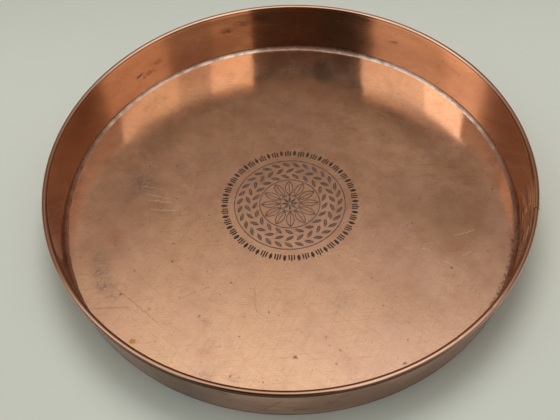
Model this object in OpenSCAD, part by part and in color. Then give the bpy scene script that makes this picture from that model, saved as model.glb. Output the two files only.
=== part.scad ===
// Round copper serving tray. A leaning wall band with a wired, rolled edge is
// soldered round a flat base plate, and dark enamel ornament lies on the base.
// Millimetres, +Z up. The origin is the centre of the face that the tray rests on.

/* [Tray] */
// Diameter over the rolled edge
tray_d = 350; // [300:5:400]
// Height from the table to the top of the rolled edge
tray_h = 42.5; // [34:0.5:50]
// Lean of the wall from upright, in degrees
wall_lean = 5.2; // [4:0.1:8]
// Thickness of the copper sheet
sheet_t = 0.8; // [0.6:0.1:1.2]

/* [Rolled edge] */
// Diameter of the steel wire inside the roll
wire_d = 2; // [1.6:0.1:3.2]
// Gap all round between the wire and the roll
wire_slack = 0.03; // [0.02:0.01:0.1]
// Where the rolled sheet ends, in degrees from outward, over the top and under
roll_end = 240; // [236:1:260]
// How much fuller the roll is on one side of the seam
roll_swell = 0.25; // [0.1:0.05:0.4]
// Length of the fuller stretch, in degrees
roll_swell_arc = 14; // [6:1:30]

/* [Joints] */
// Where the wall's seam is, in degrees round from +X
seam_angle = -14.4; // [-180:0.1:180]
// Gap between the two ends of the wall strip
seam_gap = 0.3; // [0.2:0.05:0.6]
// Width of the solder wiped over the seam inside
seam_wipe_w = 18; // [8:1:30]
// Thickness of the solder wiped over the seam inside
seam_wipe_t = 0.12; // [0.1:0.01:0.3]
// Leg of the solder fillet between the base and the wall
fillet_leg = 3.3; // [2:0.1:5]
// Gap between the two ends of the rim wire
wire_gap = 0.5; // [0.3:0.1:2]

/* [Ornament] */
// Outer radius of the ornament's border
border_r = 51.8; // [50:0.2:60]
// Height of the border's leaves
border_h = 5.4; // [4:0.2:7]
// Number of leaves round the border
border_count = 30; // [18:1:36]
// Outer radius of the wreath
rosette_r = 41.8; // [38:0.2:42]
// Rows of leaves in the wreath
wreath_rows = 3; // [2:1:3]
// Length of a leaf in the wreath
wreath_leaf = 7.4; // [6:0.1:8]
// Number of petals in the flower at the middle
petal_count = 12; // [8:1:14]
// Width of the ornament's lines
line_w = 0.7; // [0.5:0.05:1]
// Thickness of the enamel
enamel_t = 0.1; // [0.1:0.01:0.2]

/* [Hidden] */
$fn = 128;

// The roll: a sheet turned outward round the wire, tangent to the wall's inner face.
hollow_r = wire_d / 2 + wire_slack;
roll_r = hollow_r + sheet_t;
roll_at = [tray_d / 2 - roll_r, tray_h - roll_r];
roll_start = 180 - wall_lean;

// The fuller stretch stops this many degrees short of the wall and of the roll's end.
swell_fade = 20;

// The wall's inner face, which starts from the table at foot_r.
wall_top = roll_at + roll_r * [-cos(wall_lean), sin(wall_lean)];
foot_r = wall_top.x - wall_top.y * tan(wall_lean);

// The seam and the wire's joint, as angles.
seam_gap_arc = seam_gap / foot_r * 180 / PI;
seam_wipe_arc = seam_wipe_w / foot_r * 180 / PI;
wire_gap_arc = wire_gap / roll_at.x * 180 / PI;
seam_low = sheet_t + fillet_leg;
seam_high = roll_at.y - roll_r - 1;

// The border: a leaf, then three bars, in each step round its inner edge.
border_inner_r = border_r - border_h;
border_step = 2 * PI * border_inner_r / border_count;
border_leaf_w = border_step * 0.24;
bar_pitch = (border_step - border_leaf_w) / 4;
bar_w = bar_pitch * 0.56;
bar_tall = border_h * 0.96;
bar_short = border_h * 0.8;

// The wreath: rows of leaves that lean out from the way round, the next row leaning in.
wreath_lean = 32;
wreath_leaf_w = wreath_leaf * 0.36;
wreath_pitch = wreath_leaf * sin(wreath_lean) + wreath_leaf_w * cos(wreath_lean) * 0.8;
wreath_edge = rosette_r - 2 * line_w;
wreath_gap = wreath_leaf * 1.02;
vein_w = line_w / 2;

// The flower inside the wreath.
flower_r = wreath_edge - wreath_rows * wreath_pitch - 2 * line_w;
heart_r = flower_r * 0.34;
petal_w = PI * flower_r / petal_count * 1.1;

// The base fillet's hollow face is an arc that meets both sheets at a low angle.
// Its centre is on the corner's bisector, square to a point fillet_foot along each sheet.
corner = [foot_r + sheet_t * tan(wall_lean), sheet_t];
corner_half = 45 + wall_lean / 2;
fillet_foot = 1.25 * fillet_leg;
fillet_rise = fillet_foot * tan(corner_half);
fillet_centre = corner + [-fillet_foot, fillet_rise];
fillet_arc_r = norm([fillet_rise, fillet_foot - fillet_leg]);
fillet_from = atan2(-fillet_rise, fillet_foot - fillet_leg);
fillet_to = -2 * corner_half - fillet_from;
fillet_steps = 8;

// Radius of the wall at height z, off millimetres outside its inner face.
function wall_r(z, off) = foot_r + z * tan(wall_lean) + off / cos(wall_lean);

// A slab that follows the wall from height low to high, between two offsets.
module wall_slab(low, high, near, far) {
    polygon([
        [wall_r(low, near), low],
        [wall_r(low, far), low],
        [wall_r(high, far), high],
        [wall_r(high, near), high],
    ]);
}

// A slice of the plane between two angles, wide enough to cut the roll.
module slice(from, to) {
    reach = 3 * roll_r;
    polygon([
        [0, 0],
        reach * [cos(from), sin(from)],
        reach * [cos((from + to) / 2), sin((from + to) / 2)],
        reach * [cos(to), sin(to)],
    ]);
}

// Cross-section of the wall strip with its rolled edge.
module band_section() {
    polygon([
        [wall_r(0, 0), 0],
        [wall_r(0, sheet_t), 0],
        roll_at + hollow_r * [-cos(wall_lean), sin(wall_lean)],
        wall_top,
    ]);
    translate(roll_at)
        difference() {
            circle(roll_r);
            circle(hollow_r);
            slice(roll_start, roll_end);
        }
}

// Cross-section of the fuller stretch of the roll, which stands out a little more.
module swell_section() {
    translate(roll_at)
        difference() {
            translate([roll_swell, 0]) circle(roll_r + roll_swell / 2);
            circle(roll_r - sheet_t / 2);
            slice(roll_start - swell_fade, roll_end + swell_fade);
        }
}

// Flat disc inside the wall, level with the wall's foot.
module base_plate() {
    color("#b87352")
        rotate_extrude()
            polygon([[0, 0], [wall_r(0, 0), 0], [wall_r(sheet_t, 0), sheet_t], [0, sheet_t]]);
}

// One strip bent into a ring, its ends almost meeting at the seam.
module wall_band() {
    color("#c07a56")
        rotate(seam_angle + seam_gap_arc / 2) {
            rotate_extrude(angle = 360 - seam_gap_arc) band_section();
            rotate_extrude(angle = roll_swell_arc) swell_section();
        }
}

// Steel wire that stiffens the edge, its ends meeting opposite the seam.
module rim_wire() {
    color("#7d7f82")
        rotate(seam_angle + 180 + wire_gap_arc / 2)
            rotate_extrude(angle = 360 - wire_gap_arc)
                translate(roll_at) circle(wire_d / 2);
}

// Solder that fills the gap between the strip's ends and is wiped over it inside.
module seam_solder() {
    color("#a08c82") {
        rotate(seam_angle - seam_gap_arc / 2)
            rotate_extrude(angle = seam_gap_arc) wall_slab(sheet_t, seam_high, 0, sheet_t);
        rotate(seam_angle - seam_wipe_arc / 2)
            rotate_extrude(angle = seam_wipe_arc) wall_slab(seam_low, seam_high, -seam_wipe_t, 0);
    }
}

// Solder fillet in the corner between the base and the wall.
module base_solder() {
    color("#b9a79d")
        rotate_extrude()
            polygon([
                corner,
                for (i = [0 : fillet_steps])
                    let (turn = fillet_from + (fillet_to - fillet_from) * i / fillet_steps)
                        fillet_centre + fillet_arc_r * [cos(turn), sin(turn)],
            ]);
}

// A pointed leaf along X from 0, made where two equal circles cross.
module leaf(length, width) {
    r = (length * length + width * width) / (4 * width);
    intersection() {
        translate([length / 2, r - width / 2]) circle(r);
        translate([length / 2, width / 2 - r]) circle(r);
    }
}

// A leaf drawn as an outline with a line along its middle.
module veined_leaf(length, width, line) {
    difference() {
        leaf(length, width);
        translate([line * 2, 0]) leaf(length - 4 * line, width - 2 * line);
    }
    translate([line, -line / 2]) square([length - 2 * line, line]);
}

// A filled leaf with an open slit along its middle.
module split_leaf(length, width, slit) {
    difference() {
        leaf(length, width);
        translate([length * 0.15, -slit / 2]) square([length * 0.6, slit]);
    }
}

module ring(outer_r, width) {
    difference() {
        circle(outer_r);
        circle(outer_r - width);
    }
}

// Copies its children evenly round the axis.
module around(count, start = 0) {
    for (i = [0 : count - 1]) rotate(start + i * 360 / count) children();
}

// Border of upright leaves with three upright bars between neighbours.
module ornament_border() {
    color("#33231d")
        translate([0, 0, sheet_t])
            linear_extrude(enamel_t) {
                around(border_count)
                    translate([border_inner_r, 0]) leaf(border_h, border_leaf_w);
                around(border_count, 180 / border_count)
                    for (side = [-1, 0, 1])
                        translate([border_inner_r, side * bar_pitch - bar_w / 2])
                            square([side == 0 ? bar_tall : bar_short, bar_w]);
            }
}

// One row of the wreath: leaves round a middle radius, leaning by an angle.
module wreath_row(middle_r, lean, start) {
    count = floor(2 * PI * middle_r / wreath_gap);
    around(count, start)
        translate([middle_r, 0])
            rotate(90 - lean)
                translate([-wreath_leaf / 2, 0]) split_leaf(wreath_leaf, wreath_leaf_w, vein_w);
}

// Wreath of leaf rows inside a ring, round a flower at the middle.
module ornament_rosette() {
    color("#5d4a45")
        translate([0, 0, sheet_t])
            linear_extrude(enamel_t) {
                ring(rosette_r, line_w);
                for (row = [0 : wreath_rows - 1])
                    wreath_row(wreath_edge - (row + 0.5) * wreath_pitch,
                               wreath_lean * (row % 2 == 0 ? 1 : -1), row * 5);
                ring(flower_r + 1.5 * line_w, line_w);
                around(petal_count)
                    translate([heart_r, 0])
                        veined_leaf(flower_r - heart_r, petal_w, line_w * 0.8);
                ring(heart_r + line_w / 2, line_w);
                around(8)
                    translate([line_w, 0]) leaf(heart_r - 2 * line_w, line_w * 2.5);
            }
}

base_plate();
wall_band();
rim_wire();
seam_solder();
base_solder();
ornament_border();
ornament_rosette();
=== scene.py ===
"""Looks of a round copper serving tray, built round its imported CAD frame. Metres, +Z up."""
from math import asin, atan2, cos, hypot, pi, radians, sin, tan

import bmesh
import bpy
import numpy as np
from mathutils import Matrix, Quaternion, Vector


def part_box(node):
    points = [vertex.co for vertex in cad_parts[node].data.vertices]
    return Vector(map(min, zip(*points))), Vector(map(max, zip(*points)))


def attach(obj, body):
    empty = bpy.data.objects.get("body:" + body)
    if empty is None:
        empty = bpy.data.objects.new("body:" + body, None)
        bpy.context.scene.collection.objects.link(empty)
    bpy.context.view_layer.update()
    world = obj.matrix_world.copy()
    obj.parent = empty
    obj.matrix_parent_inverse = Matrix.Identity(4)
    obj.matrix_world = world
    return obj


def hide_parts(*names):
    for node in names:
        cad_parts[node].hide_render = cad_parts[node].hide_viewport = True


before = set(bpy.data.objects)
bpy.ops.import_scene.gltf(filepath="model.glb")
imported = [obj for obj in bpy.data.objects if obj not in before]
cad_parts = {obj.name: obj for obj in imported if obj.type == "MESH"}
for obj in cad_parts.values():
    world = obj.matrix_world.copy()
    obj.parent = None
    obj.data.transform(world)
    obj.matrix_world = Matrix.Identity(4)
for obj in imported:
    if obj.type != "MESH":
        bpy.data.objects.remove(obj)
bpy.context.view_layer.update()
MM = 0.001

# Sizes of the tray, all from the frame. Each piece's box gives the radius or height that it names.
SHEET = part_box("base_plate")[1].z
CORNER_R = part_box("base_plate")[1].y
WIRE_LOW, WIRE_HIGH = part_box("rim_wire")
WIRE_R = (WIRE_HIGH.z - WIRE_LOW.z) / 2
ROLL_Z = (WIRE_HIGH.z + WIRE_LOW.z) / 2
ROLL_AT = WIRE_HIGH.y - WIRE_R
ROLL_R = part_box("wall_band")[1].z - ROLL_Z
HOLLOW_R = ROLL_R - SHEET
ORNAMENT_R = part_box("ornament_border")[1].y

# The wall's inner face is the line from the plate's edge that touches the roll.
ROLL_REACH = hypot(ROLL_AT - CORNER_R, ROLL_Z - SHEET)
LEAN = atan2(ROLL_AT - CORNER_R, ROLL_Z - SHEET) - asin(ROLL_R / ROLL_REACH)
FOOT_R = CORNER_R - SHEET * tan(LEAN)
FILLET_LEG = 3.3 * MM

# The wall strip's seam, as degrees round from +X, and the fuller roll that starts there.
SEAM_AT = -14.4
SEAM_GAP = 0.1
SWELL_ARC = 14.0
SWELL = 0.45 * MM
ROLL_LIP = 0.18 * MM
ROLL_END = -120.0


# ---------------------------------------------------------------- meshes

def add_piece(name, points, faces):
    """A smooth mesh piece with outward faces and sharp corners over 35 degrees."""
    mesh = bpy.data.meshes.new(name)
    mesh.from_pydata([tuple(p) for p in points], [], faces)
    work = bmesh.new()
    work.from_mesh(mesh)
    bmesh.ops.remove_doubles(work, verts=work.verts, dist=1e-6)
    bmesh.ops.recalc_face_normals(work, faces=work.faces)
    work.to_mesh(mesh)
    work.free()
    mesh.shade_smooth()
    mesh.set_sharp_from_angle(angle=radians(35))
    piece = bpy.data.objects.new(name, mesh)
    bpy.context.scene.collection.objects.link(piece)
    return piece


def grid_faces(rows, columns, wrap_rows=False, wrap_columns=False):
    """Four-sided faces between neighbours in a grid of points numbered row by row."""
    index = np.arange(rows * columns).reshape(rows, columns)
    if wrap_rows:
        index = np.vstack([index, index[:1]])
    if wrap_columns:
        index = np.hstack([index, index[:, :1]])
    corners = [index[:-1, :-1], index[1:, :-1], index[1:, 1:], index[:-1, 1:]]
    return np.stack(corners, axis=-1).reshape(-1, 4).tolist()


def turned(outline, angles):
    """Points of an outline(angle) of (radius, height) rows, turned to each angle in degrees."""
    rings = []
    for angle in angles:
        section = outline(angle)
        turn = radians(angle)
        x = section[:, 0] * cos(turn)
        y = section[:, 0] * sin(turn)
        rings.append(np.stack([x, y, section[:, 1]], axis=1))
    return np.concatenate(rings)


def ripple(angle, waves):
    """Smooth unevenness round the tray: the sum of (waves a turn, depth, phase in degrees)."""
    return sum(depth * cos(radians(count * angle + phase)) for count, depth, phase in waves)


def arc(centre, radius, start, end, steps):
    """Points round a centre, from one angle in degrees to another."""
    turns = np.radians(np.linspace(start, end, steps))
    return np.stack([centre[0] + radius * np.cos(turns), centre[1] + radius * np.sin(turns)], axis=1)


def line(start, end, steps):
    """Points from start to end, without the end."""
    share = np.linspace(0, 1, steps, endpoint=False)[:, None]
    return np.array(start) * (1 - share) + np.array(end) * share


def fade(value, start, end):
    """0 at start, 1 at end, smooth between."""
    t = np.clip((value - start) / (end - start), 0, 1)
    return t * t * (3 - 2 * t)


def hump(angle, at, reach):
    """1 at one angle and falling away on both sides of it, all in degrees."""
    return np.exp(-(((angle - at + 180) % 360 - 180) / reach) ** 2)


# Dents in the roll, each an angle in degrees round from +X and a depth, and their reach in degrees.
NICKS = [(-43.5, 0.16 * MM), (-54.4, 0.12 * MM), (-118.0, 0.05 * MM), (163.0, 0.06 * MM)]
NICK_ARC = 0.35
ROLL_WAVES = [(7, 0.02 * MM, 40), (17, 0.012 * MM, 110), (31, 0.006 * MM, 15)]
WALL_WAVES = [(5, 0.05 * MM, 70), (11, 0.03 * MM, 200), (23, 0.015 * MM, 35)]
# The swell is full up to one share of its arc and gone at the other.
SWELL_FULL = 0.6
SWELL_GONE = 1.6
# What is added to the roll starts and ends over this many degrees of its section, and straight
# outward this share of the swell is missing.
GROWTH_FADE = 25
GROWTH_LESS = 0.4
# Points along each stretch of the wall's section, and sections round the tray.
INNER_STEPS = 22
ROLL_STEPS = 40
BACK_STEPS = 18
OUTER_STEPS = 10
WALL_SECTIONS = 641


def roll_growth(angle):
    """How much fuller the roll is at an angle: full at the seam, then fading, less the dents."""
    past_seam = (angle - SEAM_AT) % 360
    swell = SWELL * (1 - fade(past_seam, SWELL_ARC * SWELL_FULL, SWELL_ARC * SWELL_GONE))
    dents = sum(depth * hump(angle, at, NICK_ARC) for at, depth in NICKS)
    return swell + ripple(angle, ROLL_WAVES) - dents


def wall_outline(angle):
    """The wall strip's section: up the inner face, over the roll, back inside it and down."""
    touch = 180 - np.degrees(LEAN)
    away = np.array([-cos(LEAN), sin(LEAN)])
    roll = np.array([ROLL_AT, ROLL_Z])
    foot = (FOOT_R + SHEET / cos(LEAN), 0)
    inner = line((FOOT_R, 0), roll + ROLL_R * away, INNER_STEPS)
    outer = line(roll + HOLLOW_R * away, foot, OUTER_STEPS)
    bulge = ripple(angle, WALL_WAVES)
    for face in (inner, outer):
        face[:, 0] += bulge * np.sin(pi * face[:, 1] / ROLL_Z)
    over = arc(roll, ROLL_R, touch, ROLL_END, ROLL_STEPS)
    turns = np.radians(np.linspace(touch, ROLL_END, ROLL_STEPS))
    ends = np.clip(np.minimum(turns[0] - turns, turns - turns[-1]) / radians(GROWTH_FADE), 0, 1)
    fuller = np.clip(1 - GROWTH_LESS * np.cos(turns), 0, 1)
    growth = (roll_growth(angle) * fuller + ROLL_LIP) * ends
    over[:, 0] += growth * np.cos(turns)
    over[:, 1] += growth * np.sin(turns)
    back = arc(roll, HOLLOW_R, ROLL_END, touch, BACK_STEPS)[:-1]
    return np.concatenate([inner, over, back, outer, [foot]])


def make_wall():
    """The wall strip with its rolled edge, open by a hair at the seam."""
    angles = np.linspace(SEAM_AT + SEAM_GAP / 2, SEAM_AT + 360 - SEAM_GAP / 2, WALL_SECTIONS)
    points = turned(wall_outline, angles)
    columns = len(wall_outline(0))
    faces = grid_faces(len(angles), columns)
    faces += grid_faces(len(angles), columns, wrap_columns=True)[columns - 1::columns]
    first = list(range(columns))
    last = [len(points) - columns + i for i in first]
    faces += [first[::-1], last]
    return add_piece("copper_wall", points, faces)


# The floor is flat under the ornament and falls a little towards the wall.
FLAT_R = ORNAMENT_R * 1.1
FLOOR_FALL = 0.25 * MM
FLOOR_WAVES = [(3, 0.05 * MM, 20), (5, 0.03 * MM, 130), (8, 0.015 * MM, 60)]
# Broad swellings of the sheet halfway out: where and how far they reach in degrees, and height.
FLOOR_SWELLS = [(44, 26, 1.0 * MM), (120, 55, 0.4 * MM)]
SWELL_TOP = 0.50
SWELL_FOOT = 0.74
TOP_STEPS = 84
UNDER_STEPS = 12
FLOOR_SECTIONS = 360


def floor_swell(angle, share):
    """How far the sheet stands up at an angle and at shares of the way out to the wall."""
    height = sum(high * hump(angle, at, reach) for at, reach, high in FLOOR_SWELLS)
    return height * fade(share, 0, SWELL_TOP) * fade(share, SWELL_FOOT, SWELL_TOP)


def floor_outline(angle):
    """The base plate's section: out along the top, down its edge and back underneath."""
    radii = np.linspace(0, CORNER_R, TOP_STEPS)
    share = np.clip((radii - FLAT_R) / (CORNER_R - FLAT_R), 0, 1)
    waves = ripple(angle, FLOOR_WAVES) * np.sin(pi * share) ** 2
    heights = SHEET - FLOOR_FALL * fade(share, 0, 1) + waves + floor_swell(angle, share)
    top = np.stack([radii, heights], axis=1)
    under = line((FOOT_R, 0), (0, 0), UNDER_STEPS)
    return np.concatenate([top, under, [[0, 0]]])


def make_floor():
    """The base plate, a slightly uneven disc of sheet."""
    angles = np.linspace(0, 360, FLOOR_SECTIONS, endpoint=False)
    columns = len(floor_outline(0))
    faces = grid_faces(len(angles), columns, wrap_rows=True)
    return add_piece("copper_floor", turned(floor_outline, angles), faces)


# The visible run of solder is a little smaller than the solid that stands for it. Its lumps are
# shares of the fillet's leg.
FILLET_SHARE = 0.68
FILLET_WAVES = [(4, 0.07, 10), (9, 0.05, 80), (26, 0.03, 200), (61, 0.02, 330), (97, 0.015, 120)]
# In legs from the corner: the face's end on the floor, its end on the wall, and the point
# between them that draws it hollow.
FILLET_OUT = 1.05
FILLET_UP = 1.1
FILLET_HOLLOW = 0.36
# Its back edge, a hair behind the corner and inside the sheets.
FILLET_BACK = (0.0002, -0.0004)
FILLET_STEPS = 11
FILLET_SECTIONS = 1080


def fillet_outline(angle):
    """The soldered corner's section: its hollow face, then its two backs on the sheets."""
    leg = FILLET_LEG * (FILLET_SHARE + ripple(angle, FILLET_WAVES))
    corner = np.array([CORNER_R, SHEET])
    on_floor = corner + leg * FILLET_OUT * np.array([-1, 0]) - [0, FLOOR_FALL]
    on_wall = corner + leg * FILLET_UP * np.array([sin(LEAN), cos(LEAN)])
    hollow = corner + leg * FILLET_HOLLOW * np.array([-1, 1])
    share = np.linspace(0, 1, FILLET_STEPS)[:, None]
    face = on_floor * (1 - share) ** 2 + 2 * hollow * share * (1 - share) + on_wall * share ** 2
    back = corner + np.array([FILLET_BACK])
    return np.concatenate([face, back])


def make_fillet():
    """The solder run round the corner between base and wall, a little lumpy."""
    angles = np.linspace(0, 360, FILLET_SECTIONS, endpoint=False)
    columns = len(fillet_outline(0))
    faces = grid_faces(len(angles), columns, wrap_rows=True, wrap_columns=True)
    return add_piece("corner_solder", turned(fillet_outline, angles), faces)


# ---------------------------------------------------------------- node helpers

class Nodes:
    """Short calls that build the node tree of one material or world."""

    def __init__(self, owner):
        owner.use_nodes = True
        self.tree = owner.node_tree
        self.tree.nodes.clear()

    def add(self, kind, **settings):
        made = self.tree.nodes.new("ShaderNode" + kind)
        for key, value in settings.items():
            setattr(made, key, value)
        return made

    def feed(self, socket, value):
        """Links an output to a socket, or sets a plain value on it."""
        if isinstance(value, bpy.types.NodeSocket):
            self.tree.links.new(value, socket)
        else:
            socket.default_value = value

    def maths(self, operation, *values):
        made = self.add("Math", operation=operation)
        for socket, value in zip(made.inputs, values):
            self.feed(socket, value)
        return made.outputs[0]

    def vector(self, operation, *values):
        made = self.add("VectorMath", operation=operation)
        for socket, value in zip(made.inputs, values):
            self.feed(socket, value)
        return made.outputs["Value" if operation in ("DISTANCE", "DOT_PRODUCT", "LENGTH") else "Vector"]

    def span(self, value, start, end, low=0.0, high=1.0):
        """Goes smoothly from low at start to high at end, and stays there beyond."""
        made = self.add("MapRange", interpolation_type="SMOOTHSTEP")
        for name, number in zip(("Value", "From Min", "From Max", "To Min", "To Max"),
                                (value, start, end, low, high)):
            self.feed(made.inputs[name], number)
        return made.outputs["Result"]

    def mix(self, share, first, second):
        made = self.add("Mix", data_type="RGBA")
        self.feed(made.inputs["Factor"], share)
        for socket, value in zip([s for s in made.inputs if s.type == "RGBA"], (first, second)):
            self.feed(socket, value if isinstance(value, bpy.types.NodeSocket) else (*value, 1))
        return [s for s in made.outputs if s.type == "RGBA"][0]

    def mix_number(self, share, first, second):
        made = self.add("Mix", data_type="FLOAT")
        self.feed(made.inputs[0], share)
        self.feed(made.inputs[2], first)
        self.feed(made.inputs[3], second)
        return made.outputs[0]

    def lay(self, colour, tone, where, share):
        """A colour with a tone laid over it where a mask is 1, by a share."""
        return self.mix(self.maths("MULTIPLY", where, share), colour, tone)

    def mix_shader(self, share, first, second):
        made = self.add("MixShader")
        self.feed(made.inputs["Fac"], share)
        self.feed(made.inputs[1], first)
        self.feed(made.inputs[2], second)
        return made.outputs[0]

    def parts(self, at):
        """The X, Y and Z of a place or direction."""
        made = self.add("SeparateXYZ")
        self.feed(made.inputs[0], at)
        return made.outputs

    def noise(self, at, size, detail, roughness):
        """Cloudy noise whose patches are about size across, in the units of at."""
        made = self.add("TexNoise")
        self.feed(made.inputs["Vector"], at)
        made.inputs["Scale"].default_value = 1 / size
        made.inputs["Detail"].default_value = detail
        made.inputs["Roughness"].default_value = roughness
        return made.outputs["Fac"]

    def noise_colour(self, at, size):
        """Three separate cloudy noises, as a colour."""
        made = self.add("TexNoise")
        self.feed(made.inputs["Vector"], at)
        made.inputs["Scale"].default_value = 1 / size
        return made.outputs["Color"]

    def stretched(self, at, x, y, z):
        return self.vector("MULTIPLY", at, (x, y, z))

    def place(self):
        """Where the surface is, in millimetres from the tray's origin."""
        where = self.add("TexCoord").outputs["Object"]
        return self.stretched(where, 1 / MM, 1 / MM, 1 / MM)

    def bump(self, height, distance, strength):
        made = self.add("Bump")
        made.inputs["Strength"].default_value = strength
        made.inputs["Distance"].default_value = distance
        self.feed(made.inputs["Height"], height)
        return made.outputs["Normal"]


def new_material(name):
    material = bpy.data.materials.new(name)
    return material, Nodes(material)


# The dark tone of painted shade, at the wall's outer foot and over the roll's outer side.
PAINTED_SHADE_TONE = (0.07, 0.035, 0.025)


def metal_lobe(nodes, colour, roughness, normal, wiped=0.0):
    """A metal surface. Wiped, from 0 to 1, spreads its reflection more along Y than along X."""
    lobe = nodes.add("BsdfPrincipled")
    lobe.inputs["Metallic"].default_value = 1.0
    if wiped:
        along = nodes.add("CombineXYZ")
        along.inputs["Y"].default_value = 1.0
        lobe.inputs["Anisotropic"].default_value = wiped
        nodes.feed(lobe.inputs["Tangent"], along.outputs[0])
    nodes.feed(lobe.inputs["Base Color"], colour)
    nodes.feed(lobe.inputs["Roughness"], roughness)
    nodes.feed(lobe.inputs["Normal"], normal)
    return lobe.outputs["BSDF"]


def metal(nodes, colour, gloss, haze, haze_share, normal, wiped=0.0, shade_share=None):
    """Worn polished metal: a clear reflection with a broad haze mixed over it.
    The last argument is the share of matt painted shade laid over both, if there is any."""
    clear = metal_lobe(nodes, colour, gloss, normal, wiped)
    broad = metal_lobe(nodes, colour, haze, normal)
    surface = nodes.mix_shader(haze_share, clear, broad)
    if shade_share is not None:
        # A matt dark layer of painted shade.
        shade_layer = nodes.add("BsdfDiffuse")
        shade_layer.inputs["Color"].default_value = (*PAINTED_SHADE_TONE, 1)
        surface = nodes.mix_shader(shade_share, surface, shade_layer.outputs["BSDF"])
    nodes.feed(nodes.add("OutputMaterial").inputs["Surface"], surface)


def spot(nodes, at, centre, size, edge):
    """1 within a round spot, falling to 0 at its size. Edge is the soft share of its radius."""
    away = nodes.vector("DISTANCE", at, centre)
    return nodes.span(away, size * (1 - edge), size, 1.0, 0.0)


def stroke(nodes, at, start, end, width):
    """1 along a straight scratch from start to end, falling to 0 at half its width."""
    run = Vector(end) - Vector(start)
    from_start = nodes.vector("SUBTRACT", at, start)
    along = nodes.maths("MULTIPLY", nodes.vector("DOT_PRODUCT", from_start, run), 1 / run.length_squared)
    held = nodes.add("Clamp")
    nodes.feed(held.inputs["Value"], along)
    reach = nodes.add("VectorMath", operation="SCALE")
    reach.inputs[0].default_value = run
    nodes.feed(reach.inputs["Scale"], held.outputs[0])
    away = nodes.vector("DISTANCE", from_start, reach.outputs["Vector"])
    return nodes.span(away, 0.0, width / 2, 1.0, 0.0)


def most(nodes, shares):
    """The largest of several shares."""
    largest = shares[0]
    for share in shares[1:]:
        largest = nodes.maths("MAXIMUM", largest, share)
    return largest


def total(nodes, values):
    """The sum of several values."""
    result = values[0]
    for value in values[1:]:
        result = nodes.maths("ADD", result, value)
    return result


# The smallest speck, as a share of the size that the specks are drawn with.
LEAST_SPECK = 0.35


def specks(nodes, at, spacing, size, share):
    """Small round specks, one in each cell of a random pattern; only a share of cells has one."""
    cells = nodes.add("TexVoronoi", feature="F1")
    nodes.feed(cells.inputs["Vector"], at)
    cells.inputs["Scale"].default_value = 1 / spacing
    pick = nodes.add("SeparateColor")
    nodes.feed(pick.inputs["Color"], cells.outputs["Color"])
    chosen = nodes.maths("LESS_THAN", pick.outputs["Red"], share)
    grown = nodes.maths("MULTIPLY_ADD", pick.outputs["Green"], size / spacing,
                        size / spacing * LEAST_SPECK)
    near = nodes.maths("LESS_THAN", cells.outputs["Distance"], grown)
    return nodes.maths("MULTIPLY", chosen, near)


# ---------------------------------------------------------------- copper of the floor

FLOOR_WARM = (0.955, 0.640, 0.465)
FLOOR_PINK = (0.940, 0.615, 0.490)
FLOOR_PALE = (1.0, 0.68, 0.51)
FLOOR_BROWN = (0.60, 0.37, 0.25)
FLOOR_RED = (0.86, 0.50, 0.37)
TARNISH = (0.17, 0.09, 0.075)
PURPLE = (0.36, 0.24, 0.24)
RED_STAIN = (0.62, 0.30, 0.19)
PALE_SCRATCH = (1.0, 0.82, 0.66)
DROP = (0.62, 0.27, 0.05)

# Fine scratches that run one way: their tone, direction in degrees, length and width in
# millimetres, and strength.
SCRATCH_RUNS = [
    (FLOOR_BROWN, -3, 24, 0.8, 0.44),
    (FLOOR_PALE, -24, 20, 1.0, 0.44),
    (FLOOR_BROWN, 38, 16, 0.9, 0.39),
    (FLOOR_PALE, 72, 13, 0.8, 0.34),
    (FLOOR_BROWN, -62, 15, 1.0, 0.31),
]

# Dark spots on the floor: x, y and radius in millimetres.
DARK_SPOTS = [
    (-128, -32, 1.0), (-118, -37, 0.9), (-113, -55, 1.0), (-86, -33, 1.0), (-86, -48, 1.2),
    (-60, -8, 0.9), (-121, -74, 1.1), (-100, -87, 1.0), (-65, -94, 1.3), (-17, -93, 0.9),
    (-10, -96, 0.7), (-37, -111, 1.0), (-51, -118, 0.7), (0, -128, 1.7), (-22, -145, 0.9),
    (-43, -140, 1.2), (49, -87, 0.9), (62, -91, 0.8), (70, -104, 0.8), (72, -135, 1.6),
    (76, -118, 0.9), (21, -114, 1.1), (23, -120, 0.8), (30, -124, 1.1), (27, -134, 0.9),
    (97, 0, 0.9), (140, -49, 0.9), (113, -62, 1.2), (68, -67, 1.0), (152, 7, 1.1),
]
# Dark scratches: their two ends and width in millimetres.
DARK_SCRATCHES = [
    ((-152, -13), (-141, -8), 1.2), ((-141, -85), (-115, -85), 1.3), ((-127, -67), (-93, -98), 1.1),
    ((-80, -80), (-58, -70), 1.0), ((-27, -73), (-26, -92), 0.9), ((81, -27), (86, -24), 1.2),
]
# Pale scratches: their two ends and width in millimetres.
PALE_SCRATCHES = [
    ((119, -34), (134, -30), 0.8), ((112, 47), (117, 43), 1.1), ((94, -45), (100, -47), 1.3),
    ((122, -52), (129, -48), 0.9), ((42, -51), (49, -54), 1.1), ((108, -56), (117, -63), 0.8),
    ((-108, 14), (-92, 9), 1.5), ((-106, 8), (-88, 5), 1.2), ((-112, 22), (-96, 18), 1.0),
    ((-104, -1), (-86, -3), 1.2), ((72, 90), (84, 84), 1.3), ((78, 84), (92, 78), 1.2),
]
# Spots and scratches are drawn wider by these factors, because their edges are soft.
DARK_SPOT_WIDER = 1.05
DARK_SCRATCH_WIDER = 1.3
PALE_SCRATCH_WIDER = 1.5
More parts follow.
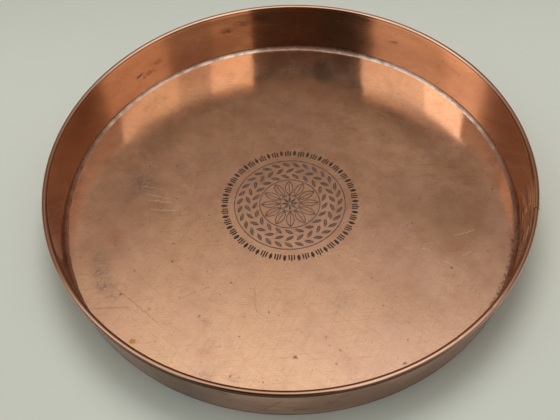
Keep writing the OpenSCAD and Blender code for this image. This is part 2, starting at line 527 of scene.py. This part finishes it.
# Stains and broad dull patches on the floor: x, y and radius in millimetres, and strength.
PURPLE_STAINS = [
    (-138, -44, 11, 0.8), (-137, -54, 12, 1.0), (-133, -66, 13, 1.0), (-127, -76, 8, 0.7),
    (-112, 24, 20, 0.9), (-58, -138, 9, 0.5), (-60, -99, 5, 0.7), (32, -88, 18, 0.4),
    (-41, -142, 8, 0.4),
]
RED_STAINS = [(-129, -25, 10, 1.0), (119, -46, 13, 0.6), (-60, -122, 9, 0.7), (-100, 3, 12, 0.7)]
DULL_PATCHES = [
    (117, -20, 48, 0.62), (-139, -36, 30, 0.45), (-122, 0, 46, 0.42), (-101, 78, 34, 0.40),
    (82, -2, 40, 0.22), (74, -87, 42, 0.30),
]
# How strongly a stain shows in the clear and in the blotchy parts of it.
PURPLE_SHARES = (0.16, 0.85)
RED_SHARES = (0.22, 0.75)
DIRT_SHARES = (0.1, 0.9)
# The corner dirt by the seam: its middle, its radius, and where it starts and is full, in
# millimetres in from the corner.
DIRT_AT = (150, -62, 0)
DIRT_R = 62
DIRT_START = 5.5
DIRT_FULL = 2.5
# A single orange drop: its place, radius and edge.
DROP_AT = (-110, -112, 0)
DROP_R = 2.6
DROP_EDGE = 0.4
# The size of the wobble that frays the edges of marks.
FRAY_SIZE = 2.5


def frayed(nodes, at, reach):
    """A place shifted a little at random, so that what is drawn there has a frayed edge."""
    drift = nodes.vector("SUBTRACT", nodes.noise_colour(at, FRAY_SIZE), (0.5, 0.5, 0.5))
    return nodes.vector("ADD", at, nodes.vector("MULTIPLY", drift, reach))


def soft_spot(nodes, at, x, y, size, strength):
    """A spot on the floor that is soft nearly all the way in to its middle."""
    return nodes.maths("MULTIPLY", spot(nodes, at, (x, y, 0), size, 0.95), strength)


def scratches(nodes, at, rows, wider):
    """1 along the scratches of a table, each drawn wider by a factor."""
    return most(nodes, [stroke(nodes, at, (*start, 0), (*end, 0), width * wider)
                        for start, end, width in rows])


def floor_stains(nodes, flat, loose, blotch, colour):
    """Lays dull patches and stains over the floor's colour. The second result is the purple ones."""
    dull = most(nodes, [soft_spot(nodes, flat, *patch) for patch in DULL_PATCHES])
    colour = nodes.mix(dull, colour, FLOOR_BROWN)
    purple = most(nodes, [soft_spot(nodes, loose, *stain) for stain in PURPLE_STAINS])
    colour = nodes.lay(colour, PURPLE, purple, nodes.span(blotch, 0, 1, *PURPLE_SHARES))
    red = most(nodes, [soft_spot(nodes, loose, *stain) for stain in RED_STAINS])
    colour = nodes.lay(colour, RED_STAIN, red, nodes.span(blotch, 0, 1, *RED_SHARES))
    return colour, purple


def floor_marks(nodes, at, colour):
    """Lays the floor's stains, scratches, spots and corner dirt over a colour."""
    flat = nodes.stretched(at, 1, 1, 0)
    loose = nodes.stretched(frayed(nodes, at, (3.5, 3.5, 0)), 1, 1, 0)
    blotch = nodes.span(nodes.noise(at, 2.2, 6, 0.8), 0.42, 0.60)
    colour, purple = floor_stains(nodes, flat, loose, blotch, colour)
    pale = scratches(nodes, loose, PALE_SCRATCHES, PALE_SCRATCH_WIDER)
    colour = nodes.lay(colour, PALE_SCRATCH, pale, 0.85)
    dark = scratches(nodes, loose, DARK_SCRATCHES, DARK_SCRATCH_WIDER)
    colour = nodes.lay(colour, TARNISH, dark, 0.32)
    dots = most(nodes, [spot(nodes, loose, (x, y, 0), size * DARK_SPOT_WIDER, 0.7)
                        for x, y, size in DARK_SPOTS])
    colour = nodes.lay(colour, TARNISH, dots, 0.72)
    corner = CORNER_R / MM
    edge = nodes.span(nodes.vector("LENGTH", loose), corner - DIRT_START, corner - DIRT_FULL)
    by_seam = nodes.maths("MULTIPLY", edge, spot(nodes, flat, DIRT_AT, DIRT_R, 0.5))
    colour = nodes.lay(colour, TARNISH, by_seam, nodes.span(blotch, 0, 1, *DIRT_SHARES))
    drop = spot(nodes, loose, DROP_AT, DROP_R, DROP_EDGE)
    return nodes.lay(colour, DROP, drop, 0.85), purple


def brushed(nodes, at, turn, length, width):
    """Noise drawn out into fine lines that run at an angle across the floor."""
    turned_at = nodes.add("VectorRotate", rotation_type="Z_AXIS")
    nodes.feed(turned_at.inputs["Vector"], at)
    turned_at.inputs["Angle"].default_value = radians(turn)
    return nodes.noise(nodes.stretched(turned_at.outputs[0], width / length, 1.0, 1.0), width, 4, 0.6)


# Specks all over the floor: spacing and size in millimetres, and the share of cells with one.
FINE_SPECKS = (3.2, 0.42, 0.5)
COARSE_SPECKS = (11.0, 0.75, 0.42)
# Roughness of the floor's clear reflection and of its haze, how much haze there is, and how much
# more there is on a stain. The depth of the scratches is in metres.
FLOOR_GLOSS = (0.095, 0.14)
FLOOR_HAZE = 0.30
FLOOR_HAZE_SHARE = (0.18, 0.32)
STAIN_HAZE = 0.3
SCRATCH_DEPTH = 0.00003


def floor_material():
    """Copper of the base plate: polished sheet with scratches, stains and dull patches."""
    material, nodes = new_material("copper_floor")
    at = nodes.place()
    clouds = nodes.noise(at, 55, 4, 0.55)
    colour = nodes.mix(nodes.span(clouds, 0.35, 0.65), FLOOR_WARM, FLOOR_PINK)
    mottle = nodes.span(nodes.noise(at, 8, 5, 0.65), 0.46, 0.66, 0.0, 0.34)
    colour = nodes.mix(mottle, colour, FLOOR_RED)
    runs = []
    for tone, turn, length, width, strength in SCRATCH_RUNS:
        run = nodes.span(brushed(nodes, at, turn, length, width), 0.50, 0.72, 0.0, strength)
        colour = nodes.mix(run, colour, tone)
        runs.append(run)
    patch = nodes.span(nodes.noise(at, 26, 6, 0.68), 0.47, 0.72, 0.0, 0.30)
    colour = nodes.mix(patch, colour, FLOOR_BROWN)
    colour = nodes.lay(colour, TARNISH, specks(nodes, at, *FINE_SPECKS), 0.45)
    colour = nodes.lay(colour, TARNISH, specks(nodes, at, *COARSE_SPECKS), 0.55)
    colour, stained = floor_marks(nodes, at, colour)
    gloss = nodes.span(nodes.noise(at, 18, 3, 0.6), 0.3, 0.7, *FLOOR_GLOSS)
    haze_share = nodes.span(clouds, 0.3, 0.7, *FLOOR_HAZE_SHARE)
    haze_share = nodes.maths("ADD", haze_share, nodes.maths("MULTIPLY", stained, STAIN_HAZE))
    normal = nodes.bump(total(nodes, runs), SCRATCH_DEPTH, 0.15)
    metal(nodes, colour, gloss, FLOOR_HAZE, haze_share, normal, wiped=1.0)
    return material


# ---------------------------------------------------------------- copper of the wall

WALL_ORANGE = (0.940, 0.540, 0.350)
WALL_BROWN = (0.66, 0.32, 0.18)
WALL_SHADE = (0.40, 0.18, 0.10)
OUTER_COPPER = (0.74, 0.43, 0.31)
OUTER_BROWN = (0.40, 0.20, 0.13)
ROLL_COPPER = (0.86, 0.52, 0.39)
STREAK = (1.0, 0.70, 0.45)
RUST = (0.36, 0.15, 0.06)
# The dark tone of the painted shade under the roll, also used for a darker patch at the front left.
OUTER_SHADE = (0.15, 0.07, 0.045)

# Heights and depths on the wall are in millimetres; depth is how far outside its inner face.
ROLL_LOW = (ROLL_Z - ROLL_R) / MM
SHEET_DEPTH = SHEET / MM
# Dark marks inside and outside the wall: degrees round from +X, height and size in millimetres.
INNER_MARKS = [
    (-5.8, 4, 2.6), (-7.5, 26, 4.5), (-9.0, 16, 3.6), (-17.3, 15, 3.4), (-17.0, 27, 3.8), (-18.0, 8, 3.6),
    (-28.0, 6, 3.4), (-28.5, 12, 2.8), (-36.5, 3, 2.6),
    (96.0, 33, 4.0), (101.0, 31, 4.5), (106.0, 27, 4.0), (128.0, 22, 3.0), (131.0, 17, 3.5),
    (134.0, 20, 2.4), (58.0, 24, 2.2),
]
OUTER_MARKS = [(-105.6, 27, 2.4), (-89.0, 10, 3.0), (-82.5, 17, 2.8), (-80.0, 24, 2.2)]
# A rusty scratch outside: its ends as degrees and height, and its width.
SCRATCH_TOP = (-93.0, 26)
SCRATCH_FOOT = (-97.8, 6)
SCRATCH_WIDTH = 1.6
# Marks are drawn in coordinates squeezed by SMEAR, and OUT takes a point to the outer face.
SMEAR = (0.55, 0.55, 1.7)
OUT = Vector((1 + SHEET / FOOT_R, 1 + SHEET / FOOT_R, 1))
# Broad patches on the wall: degrees and height of the middle, radius and edge.
SEAM_PATCH = (SEAM_AT - 1, 21, 42, 0.45)
BACK_SHADE = (196, 20, 66, 0.95)
FRONT_DARK_PATCH = (-116, 18, 48, 0.8)
# Where the roll is painted browner, as painted shade.
ROLL_FRONT_SHADE = (-112, 41, 150, 0.7)
# Where the roll's outer side gets the most painted shade.
PAINTED_SHADE_FRONT = (-92, 36, 150, 0.5)
WALL_SPECKS = (9.0, 0.6, 0.4)
# Roughness of the wall's clear reflection, of its haze and of the scraped streaks' haze, and how
# much haze there is.
WALL_GLOSS = (0.035, 0.07)
WALL_HAZE = 0.30
SCRAPED_HAZE = 0.65
WALL_HAZE_SHARE = (0.05, 0.12)
OUTER_HAZE_SHARE = 0.45
RING_DEPTH = 0.00002


def wall_point(angle, height):
    """A point on the wall's inner face, in millimetres."""
    radius = FOOT_R / MM + height * tan(LEAN)
    return Vector((radius * cos(radians(angle)), radius * sin(radians(angle)), height))


def wall_mark(nodes, at, angle, height, size):
    """A soft mark drawn out along the wall, in coordinates squeezed by SMEAR."""
    return spot(nodes, at, wall_point(angle, height) * Vector(SMEAR), size * 1.5, 0.8)


def wall_patch(nodes, at, angle, height, size, edge):
    """1 within a broad patch of the wall, falling to 0 at its size."""
    return spot(nodes, at, wall_point(angle, height), size, edge)


def outer_colour(nodes, at, height, clouds, rings):
    """The browner copper outside the wall, with painted shade at the foot and just under the roll."""
    toned = nodes.mix(nodes.span(rings, 0.45, 0.7, 0.0, 0.45), OUTER_COPPER, OUTER_BROWN)
    toned = nodes.mix(nodes.span(clouds, 0.42, 0.60, 0.0, 0.6), toned, OUTER_BROWN)
    # A darker patch on the outer wall at the front left.
    toned = nodes.lay(toned, OUTER_SHADE, wall_patch(nodes, at, *FRONT_DARK_PATCH), 0.55)
    scratch = stroke(nodes, at, wall_point(*SCRATCH_TOP) * OUT, wall_point(*SCRATCH_FOOT) * OUT,
                     SCRATCH_WIDTH)
    toned = nodes.lay(toned, RUST, scratch, 0.8)
    # Painted shade: the outer wall darkens towards its foot, where it stands on the table.
    toned = nodes.mix(nodes.span(height, 0.4, 2.0, 0.85, 0.0), toned, PAINTED_SHADE_TONE)
    # Painted shade: darker just under the roll.
    painted_shade_under_roll = nodes.span(height, ROLL_LOW - 9.0, ROLL_LOW - 1.0, 0.0, 0.55)
    return nodes.mix(painted_shade_under_roll, toned, OUTER_SHADE)


def seam_marks(nodes, at, height, outside, colour):
    """Scraped and burnt streaks beside the seam, inside. The second result is the scraped ones."""
    seam = nodes.maths("MULTIPLY", wall_patch(nodes, at, *SEAM_PATCH), nodes.span(height, 5, 12))
    seam = nodes.maths("MULTIPLY", seam, nodes.maths("SUBTRACT", 1.0, outside))
    streaks = nodes.noise(nodes.stretched(at, 0.05, 0.05, 1.0), 2.4, 3, 0.6)
    scraped = nodes.maths("MULTIPLY", seam, nodes.span(streaks, 0.49, 0.55))
    burnt = nodes.maths("MULTIPLY", seam, nodes.span(streaks, 0.48, 0.42, 0.0, 0.9))
    colour = nodes.mix(scraped, colour, STREAK)
    return nodes.mix(burnt, colour, TARNISH), scraped


def wall_marks(nodes, at, outside):
    """Blotchy dark marks, one set inside the wall and one outside."""
    smudge = nodes.span(nodes.noise(nodes.stretched(at, 0.45, 0.45, 2.0), 5, 4, 0.7), 0.42, 0.62)
    loose = nodes.stretched(frayed(nodes, at, (9, 9, 9)), *SMEAR)
    inner = most(nodes, [wall_mark(nodes, loose, *mark) for mark in INNER_MARKS])
    outer = most(nodes, [wall_mark(nodes, loose, *mark) for mark in OUTER_MARKS])
    marks = nodes.mix_number(outside, inner, outer)
    return nodes.maths("MULTIPLY", marks, nodes.span(smudge, 0, 1, 0.40, 0.90))


def roll_colour(nodes, at, height, depth, outside, colour):
    """Lays the roll's own tone over a colour. It is painted browner at the front left, as painted shade
    for the dimmer room that it reflects there.
    """
    rolled_in = nodes.maths("MULTIPLY", nodes.span(height, ROLL_LOW, ROLL_LOW + 1.0),
                            nodes.span(depth, -0.12, -0.02, 1.0, 0.0))
    rolled_out = nodes.maths("MULTIPLY", nodes.span(height, ROLL_LOW, ROLL_LOW + 0.3), outside)
    # Painted shade: the roll is browner towards the front left.
    tone = nodes.lay(ROLL_COPPER, OUTER_BROWN, wall_patch(nodes, at, *ROLL_FRONT_SHADE), 0.62)
    return nodes.mix(nodes.maths("MAXIMUM", rolled_in, rolled_out), colour, tone)


def roll_painted_shade(nodes, at, height, outside):
    """The share of matt painted shade on the roll's outer side, most of it at the front, standing for the
    dark surroundings that it reflects.
    """
    rises = nodes.span(height, ROLL_LOW - 1.5, ROLL_LOW - 0.5)
    ends = nodes.span(height, ROLL_LOW + 2.8, ROLL_LOW + 3.4, 1.0, 0.0)
    painted_dark = nodes.maths("MULTIPLY", nodes.maths("MULTIPLY", outside, rises), ends)
    front = wall_patch(nodes, at, *PAINTED_SHADE_FRONT)
    return nodes.maths("MULTIPLY", painted_dark, nodes.mix_number(front, 0.25, 0.92))


def wall_material():
    """Copper of the wall strip: orange and glossy inside, browner and duller outside."""
    material, nodes = new_material("copper_wall")
    at = nodes.place()
    height = nodes.parts(at)["Z"]
    radius = nodes.vector("LENGTH", nodes.stretched(at, 1, 1, 0))
    depth = nodes.maths("SUBTRACT", nodes.maths("SUBTRACT", radius, FOOT_R / MM),
                        nodes.maths("MULTIPLY", height, tan(LEAN)))
    outside = nodes.span(depth, SHEET_DEPTH * 0.4, SHEET_DEPTH * 0.6)
    clouds = nodes.noise(nodes.stretched(at, 1, 1, 2.5), 60, 4, 0.6)
    rings = nodes.noise(nodes.stretched(at, 0.035, 0.035, 1.6), 1.5, 4, 0.65)
    colour = nodes.mix(nodes.span(clouds, 0.40, 0.72, 0.0, 0.45), WALL_ORANGE, WALL_BROWN)
    colour = nodes.mix(nodes.span(rings, 0.48, 0.75, 0.0, 0.22), colour, WALL_BROWN)
    colour = nodes.mix(outside, colour, outer_colour(nodes, at, height, clouds, rings))
    colour, scraped = seam_marks(nodes, at, height, outside, colour)
    colour = nodes.mix(wall_marks(nodes, at, outside), colour, TARNISH)
    colour = nodes.mix(wall_patch(nodes, at, *BACK_SHADE), colour, WALL_SHADE)
    colour = nodes.lay(colour, TARNISH, specks(nodes, at, *WALL_SPECKS), 0.6)
    colour = roll_colour(nodes, at, height, depth, outside, colour)
    gloss = nodes.span(clouds, 0.3, 0.7, *WALL_GLOSS)
    haze = nodes.mix_number(scraped, WALL_HAZE, SCRAPED_HAZE)
    haze_share = most(nodes, [nodes.span(rings, 0.35, 0.7, *WALL_HAZE_SHARE), scraped,
                              nodes.maths("MULTIPLY", outside, OUTER_HAZE_SHARE)])
    normal = nodes.bump(rings, RING_DEPTH, 0.2)
    # The roll's outer side gets a layer of painted shade.
    metal(nodes, colour, gloss, haze, haze_share, normal, shade_share=roll_painted_shade(nodes, at, height, outside))
    return material


# ---------------------------------------------------------------- the other materials

# Each solder: its name, two tones, the size of its patches, and the height above which it is painted
# copper-brown, a painted reflection of the wall.
CORNER_SOLDER = ("corner_solder", (1.0, 0.70, 0.58), (0.66, 0.41, 0.33), 9.0, 2.3)
SEAM_SOLDER = ("seam_solder", (0.80, 0.46, 0.30), (0.36, 0.18, 0.12), 5.0, 60.0)
# Each enamel: its name, its tone, its rubbed tone, and how much copper shows in its flecks.
BORDER_ENAMEL = ("border_enamel", (0.020, 0.012, 0.010), (0.06, 0.035, 0.028), 0.35)
ROSETTE_ENAMEL = ("rosette_enamel", (0.075, 0.050, 0.050), (0.13, 0.085, 0.08), 0.6)
STEEL = (0.46, 0.47, 0.48)
STEEL_RUST = (0.20, 0.12, 0.09)
TABLE_TONES = ((0.70, 0.72, 0.68), (0.73, 0.75, 0.70))
# The table's painted shade far back, a darker tone standing for the lamp's falloff, and between which Y
# in millimetres it turns to that.
TABLE_FAR_SHADE = (0.44, 0.45, 0.43)
TABLE_SHADE_FADE = (80, 520)


def solder_material(name, pale, grey, patch_size, painted_reflection_top):
    """Dull silvery solder with small dark breaks. Above a height it is painted copper-brown, a painted
    reflection of the wall beside it.
    """
    material, nodes = new_material(name)
    at = nodes.place()
    patches = nodes.noise(at, patch_size, 5, 0.65)
    colour = nodes.mix(nodes.span(patches, 0.45, 0.65), pale, grey)
    uneven = nodes.span(nodes.noise(at, 3.0, 4, 0.6), 0.3, 0.7, -0.3, 0.3)
    ragged = nodes.maths("ADD", nodes.parts(at)["Z"], uneven)
    # Painted reflection: copper-brown above a height.
    colour = nodes.mix(nodes.span(ragged, painted_reflection_top, painted_reflection_top + 0.6), colour, WALL_BROWN)
    breaks = nodes.span(nodes.noise(at, patch_size * 0.7, 6, 0.75), 0.64, 0.70, 0.0, 0.8)
    colour = nodes.mix(breaks, colour, TARNISH)
    gloss = nodes.span(patches, 0.4, 0.6, 0.18, 0.30)
    normal = nodes.bump(nodes.noise(at, 2.4, 3, 0.6), 0.00004, 0.4)
    metal(nodes, colour, gloss, 0.5, 0.35, normal)
    return material


def steel_material():
    """Drawn steel wire with a little rust."""
    material, nodes = new_material("steel_wire")
    at = nodes.place()
    rust = nodes.span(nodes.noise(at, 3.0, 5, 0.7), 0.52, 0.66, 0.0, 0.8)
    colour = nodes.mix(rust, STEEL, STEEL_RUST)
    gloss = nodes.span(rust, 0, 0.8, 0.3, 0.6)
    normal = nodes.bump(nodes.noise(at, 0.6, 4, 0.6), 0.00005, 0.5)
    metal(nodes, colour, gloss, 0.6, 0.3, normal)
    return material


def enamel_material(name, ink, toned, copper_share):
    """Thin dark enamel, rubbed through to a browner tone in places."""
    material, nodes = new_material(name)
    at = nodes.place()
    rubbed = nodes.span(nodes.noise(at, 7.0, 5, 0.7), 0.42, 0.66)
    colour = nodes.mix(rubbed, ink, toned)
    flecks = nodes.span(nodes.noise(at, 0.9, 3, 0.7), 0.58, 0.68, 0.0, copper_share)
    colour = nodes.mix(flecks, colour, FLOOR_BROWN)
    shader = nodes.add("BsdfPrincipled")
    nodes.feed(shader.inputs["Base Color"], colour)
    nodes.feed(shader.inputs["Roughness"], nodes.span(rubbed, 0, 1, 0.38, 0.55))
    nodes.feed(shader.inputs["Metallic"], nodes.span(flecks, 0, copper_share, 0.0, 0.5))
    nodes.feed(shader.inputs["Normal"], nodes.bump(nodes.noise(at, 0.5, 3, 0.6), 0.00003, 0.5))
    nodes.feed(nodes.add("OutputMaterial").inputs["Surface"], shader.outputs["BSDF"])
    return material


def table_material():
    """Matt pale table top, with painted shade darkening it towards the back."""
    material, nodes = new_material("table")
    at = nodes.place()
    colour = nodes.mix(nodes.noise(at, 260, 2, 0.5), *TABLE_TONES)
    # Painted shade: the table is darker towards the back.
    colour = nodes.mix(nodes.span(nodes.parts(at)["Y"], *TABLE_SHADE_FADE), colour, TABLE_FAR_SHADE)
    shader = nodes.add("BsdfPrincipled")
    nodes.feed(shader.inputs["Base Color"], colour)
    shader.inputs["Roughness"].default_value = 0.75
    nodes.feed(nodes.add("OutputMaterial").inputs["Surface"], shader.outputs["BSDF"])
    return material


# ---------------------------------------------------------------- light, table and camera

LIGHT = (1.0, 0.985, 0.94)
DIM_LIGHT = (1.0, 0.70, 0.48)
DARK_LIGHT = (1.0, 0.62, 0.40)
SHADOW_LIGHT = (1.0, 0.42, 0.20)
WARM_LEFT = (1.0, 1.02, 0.94)
WARM_RIGHT = (1.0, 0.90, 0.75)
COOL_LEFT = (1.0, 1.28, 1.34)
COOL_RIGHT = (1.0, 1.20, 1.14)
PLAIN_LIGHT = (1.0, 0.95, 0.88)
CEILING = (1.0, 0.93, 0.78)
NEAR_CEILING = (1.07, 1.06, 0.98)

# The room by direction, in degrees: 0 is away from the camera and 90 is to its right.
# Each strip of light has its start and end low down, its start and end high up, and its
# strength low down and high up.
LOW = 34
HIGH = 54
STRIPS = [
    (-138, -98, -137, -98, 0.52, 1.02),
    (-98, -77.5, -98, -71, 0.68, 1.72),
    (88, 124, 78, 118, 0.50, 0.84),
    (124, 146, 118, 138, 0.18, 0.58),
    (146, 165, 138, 162, 0.24, 1.32),
]
# The dark room behind the camera: its two parts, given in the same way but measured from
# straight behind.
DARK_PARTS = [
    (-15, 17, -18, 16, 0.020, 0.035),
    (17, 42, 16, 43, 0.001, 0.0),
]


# Half the width of a strip's soft edge, in degrees.
STRIP_SOFT = 1.2
# How bright the rest of the room is high up: straight ahead, and to the left and the right.
# Low down it is only LOW_DIM.
DIM_AHEAD = 0.20
DIM_SIDES = (0.20, 0.23)
LOW_DIM = 0.10
# What the camera sees where there is no table.
PLAIN_BACK = (0.55, 0.55, 0.50)


def window(nodes, angle, starts, ends, soft):
    """1 between two angles, which may be sockets, with soft edges."""
    opens = nodes.span(nodes.maths("SUBTRACT", angle, starts), -soft, soft)
    closes = nodes.span(nodes.maths("SUBTRACT", angle, ends), -soft, soft, 1.0, 0.0)
    return nodes.maths("MULTIPLY", opens, closes)


def strip(nodes, angle, climb, row):
    """The light of one strip, and 1 where it is. Climb is 0 low down and 1 high up."""
    low_start, low_end, high_start, high_end, low_light, high_light = row
    where = window(nodes, angle, nodes.mix_number(climb, low_start, high_start),
                   nodes.mix_number(climb, low_end, high_end), STRIP_SOFT)
    return nodes.maths("MULTIPLY", where, nodes.mix_number(climb, low_light, high_light)), where


def side_light(nodes, azimuth, rise, aside, strips, shadows, bright, shadow):
    """The strength of the light from below the ceiling."""
    panels = total(nodes, [light for light, where in strips])
    panels = nodes.maths("MULTIPLY", panels, nodes.span(rise, 14, 30, 0.15, 1.0))
    highest = nodes.mix_number(aside, DIM_AHEAD, nodes.span(azimuth, -30, 30, *DIM_SIDES))
    dim = nodes.span(rise, 34, 52, LOW_DIM, highest)
    lit = nodes.maths("MAXIMUM", bright, shadow)
    dim = nodes.maths("MULTIPLY", dim, nodes.maths("SUBTRACT", 1.0, lit))
    return total(nodes, [panels, dim] + [light for light, where in shadows])


def ceiling_share(nodes, azimuth, rise, shadow):
    """1 where the ceiling is. It reaches lowest ahead and highest over the dark room behind."""
    leant = nodes.maths("SUBTRACT", rise, nodes.maths("MULTIPLY", azimuth, 0.06))
    leant = nodes.maths("SUBTRACT", leant, nodes.span(azimuth, -34, -26, 6.0, 0.0))
    beside = nodes.span(nodes.maths("ABSOLUTE", azimuth), 60, 90)
    edge = nodes.mix_number(beside, leant, nodes.maths("SUBTRACT", rise, 3.0))
    return nodes.mix_number(shadow, nodes.span(edge, 49.5, 68), nodes.span(rise, 58, 78))


def room_colour(nodes, azimuth, rise, aside, bright, shadow, ceiling):
    """The colour of the light: warm low down and cool high up at the sides, warm overhead."""
    cool = nodes.span(rise, 40, 52)
    on_right = nodes.maths("GREATER_THAN", azimuth, 0.0)
    panel_colour = nodes.mix(on_right, nodes.mix(cool, WARM_LEFT, COOL_LEFT),
                             nodes.mix(cool, WARM_RIGHT, COOL_RIGHT))
    unlit = nodes.mix(cool, nodes.mix(shadow, DARK_LIGHT, SHADOW_LIGHT), DIM_LIGHT)
    unlit = nodes.mix(nodes.maths("MULTIPLY", cool, aside), unlit, PLAIN_LIGHT)
    colour = nodes.mix(bright, unlit, panel_colour)
    near = nodes.maths("MULTIPLY", nodes.span(azimuth, -2, 24), nodes.span(rise, 52, 64))
    return nodes.mix(ceiling, colour, nodes.mix(near, CEILING, NEAR_CEILING))


def make_world():
    """Soft studio light by direction: a bright ceiling, strips of light at the sides, a dark back."""
    world = bpy.data.worlds.new("studio")
    bpy.context.scene.world = world
    nodes = Nodes(world)
    x, y, z = nodes.parts(nodes.add("TexCoord").outputs["Generated"])
    azimuth = nodes.maths("DEGREES", nodes.maths("ARCTAN2", x, y))
    back_x, back_y = (nodes.maths("MULTIPLY", part, -1.0) for part in (x, y))
    behind = nodes.maths("DEGREES", nodes.maths("ARCTAN2", back_x, back_y))
    rise = nodes.maths("DEGREES", nodes.maths("ARCSINE", z))
    climb = nodes.add("MapRange")
    for name, value in (("Value", rise), ("From Min", LOW), ("From Max", HIGH)):
        nodes.feed(climb.inputs[name], value)
    climb = climb.outputs["Result"]

    strips = [strip(nodes, azimuth, climb, row) for row in STRIPS]
    shadows = [strip(nodes, behind, climb, row) for row in DARK_PARTS]
    bright = total(nodes, [where for light, where in strips])
    shadow = total(nodes, [where for light, where in shadows])
    aside = nodes.span(nodes.maths("ABSOLUTE", azimuth), 26, 40)
    sides = side_light(nodes, azimuth, rise, aside, strips, shadows, bright, shadow)
    ceiling = ceiling_share(nodes, azimuth, rise, shadow)
    glow = nodes.add("Background")
    nodes.feed(glow.inputs["Color"],
               room_colour(nodes, azimuth, rise, aside, bright, shadow, ceiling))
    nodes.feed(glow.inputs["Strength"],
               nodes.mix_number(ceiling, sides, nodes.span(rise, 60, 76, 1.0, 1.14)))
    plain = nodes.add("Background")
    plain.inputs["Color"].default_value = (*PLAIN_BACK, 1)
    seen = nodes.mix_shader(nodes.add("LightPath").outputs["Is Camera Ray"],
                            glow.outputs[0], plain.outputs[0])
    nodes.feed(nodes.add("OutputWorld").inputs["Surface"], seen)


LAMP_AT = (0.02, 0.58, 1.6)
LAMP_SIZE = 1.0
LAMP_POWER = 9.8


def make_lamp():
    """A broad lamp overhead that lights the table and leaves no mirror image in the copper."""
    lamp = bpy.data.lights.new("overhead", "AREA")
    lamp.shape = "DISK"
    lamp.size = LAMP_SIZE
    lamp.energy = LAMP_POWER
    lamp.color = LIGHT
    holder = bpy.data.objects.new("overhead", lamp)
    holder.location = LAMP_AT
    holder.rotation_mode = "QUATERNION"
    holder.rotation_quaternion = (-holder.location).to_track_quat("-Z", "Y")
    holder.visible_glossy = False
    bpy.context.scene.collection.objects.link(holder)


# Radii of the table's rings, and how many degrees apart its spokes are.
TABLE_RINGS = [0, 0.25, 0.6, 1.5, 4.0]
TABLE_STEP = 5


def make_table():
    """A pale round table top, with its edge well out of view."""
    spokes = [radians(angle) for angle in range(0, 360, TABLE_STEP)]
    points = [(r * cos(turn), r * sin(turn), 0) for turn in spokes for r in TABLE_RINGS]
    faces = grid_faces(len(spokes), len(TABLE_RINGS), wrap_rows=True)
    table = add_piece("table", points, faces)
    if table.data.polygons[0].normal.z < 0:
        table.data.flip_normals()
    table.data.materials.append(table_material())


CAMERA_AT = Vector((0.0, -0.40639, 0.53855))
CAMERA_AIM = Vector((-0.00749, -0.00518, 0.0))
CAMERA_ROLL = -2.959
CAMERA_LENS = 57.86


def make_camera():
    camera = bpy.data.objects.new("camera", bpy.data.cameras.new("camera"))
    camera.data.lens = CAMERA_LENS
    camera.data.sensor_width = 36.0
    camera.data.clip_start = 0.01
    camera.location = CAMERA_AT
    aim = (CAMERA_AIM - CAMERA_AT).to_track_quat("-Z", "Y")
    camera.rotation_mode = "QUATERNION"
    camera.rotation_quaternion = aim @ Quaternion((0, 0, 1), radians(CAMERA_ROLL))
    bpy.context.scene.collection.objects.link(camera)
    bpy.context.scene.camera = camera


# ---------------------------------------------------------------- put together

def finish_piece(piece, material, slot, *nodes):
    """Gives a piece its material and body, and hides the CAD nodes that it stands for. Its slot is not
    used.
    """
    piece.data.materials.append(material)
    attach(piece, "root")
    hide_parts(*nodes)


def dress_node(name, material):
    """Puts a material in every slot of a CAD node that stays as it is."""
    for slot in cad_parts[name].material_slots:
        slot.material = material


finish_piece(make_floor(), floor_material(), "base_copper", "base_plate")
finish_piece(make_wall(), wall_material(), "wall_copper", "wall_band")
finish_piece(make_fillet(), solder_material(*CORNER_SOLDER), "base_solder", "base_solder")
dress_node("rim_wire", steel_material())
dress_node("seam_solder", solder_material(*SEAM_SOLDER))
dress_node("ornament_border", enamel_material(*BORDER_ENAMEL))
dress_node("ornament_rosette", enamel_material(*ROSETTE_ENAMEL))

make_world()
make_lamp()
make_table()
make_camera()
scene = bpy.context.scene
scene.view_settings.view_transform = "Standard"
scene.cycles.use_denoising = True
